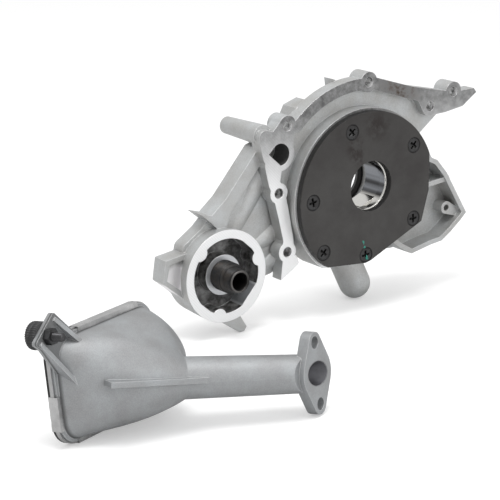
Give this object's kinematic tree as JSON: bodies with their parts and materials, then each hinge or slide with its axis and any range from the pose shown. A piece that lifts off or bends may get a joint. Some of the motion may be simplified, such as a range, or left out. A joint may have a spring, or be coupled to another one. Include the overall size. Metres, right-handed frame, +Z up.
{
  "type": "engine oil pump",
  "caption": "Crankshaft-driven gerotor engine oil pump with a spin-on filter head, pressure relief valve and a separate oil pickup with strainer.",
  "frame": {"origin": "on the crank axis, in the plane of the gasket face that meets the engine block", "axes": "+Y along the crank axis away from the block, +X right as seen from the block, +Z up; the pump stands upright and the pickup stands beside it"},
  "size_m": [0.5004, 0.2429, 0.1988],
  "materials": {
    "cast_aluminium": "die cast, shot blasted, matt",
    "sintered_steel": "ground sintered steel",
    "black_plate": "black phosphated steel, satin",
    "black_screw": "blackened steel",
    "seal_case_steel": "pressed sheet steel",
    "seal_rubber": "moulded rubber",
    "spring_steel": "drawn wire",
    "black_nipple": "blackened steel",
    "zinc_steel": "zinc plated",
    "ground_steel": "ground",
    "washer_aluminium": "soft sealing washer",
    "pickup_aluminium": "die cast, satin",
    "sheet_steel": "folded sheet",
    "screen_steel": "perforated sheet",
    "black_foot": "moulded, knurled edge"
  },
  "bodies": {
    "housing": {"pump_housing": "cast_aluminium", "cover_plate": "black_plate", "cover_screws": "black_screw", "crank_seal_case": "seal_case_steel", "crank_seal_lip": "seal_rubber", "crank_seal_spring": "spring_steel", "filter_nipple": "black_nipple", "core_plug": "zinc_steel", "relief_plug": "zinc_steel", "relief_plug_washer": "washer_aluminium", "relief_spring": "spring_steel", "pickup_body": "pickup_aluminium", "strainer_frame": "sheet_steel", "strainer_screen": "screen_steel", "foot_pad": "black_foot", "foot_stud": "zinc_steel", "foot_nut": "zinc_steel"},
    "inner_rotor": {"inner_rotor": "sintered_steel"},
    "outer_rotor": {"outer_rotor": "sintered_steel"},
    "relief_piston": {"relief_piston": "ground_steel"}
  },
  "joints": [
    {"name": "crank_drive", "type": "hinge", "parent": "housing", "child": "inner_rotor", "pos_m": [0, 0, 0], "axis": [0, 1, 0], "continuous": true},
    {"name": "outer_rotor_turn", "type": "hinge", "parent": "housing", "child": "outer_rotor", "pos_m": [0, 0, -0.003], "axis": [0, 1, 0], "continuous": true},
    {"name": "relief_slide", "type": "slide", "parent": "housing", "child": "relief_piston", "axis": [0.5592, 0, -0.829], "range_m": [0, 0.009], "stiffness_N_per_m": 5000, "springref_m": -0.008, "deforming": ["relief_spring"]}
  ],
  "couplings": [
    {"joint": "outer_rotor_turn", "follows": "crank_drive", "ratio": 0.9}
  ]
}
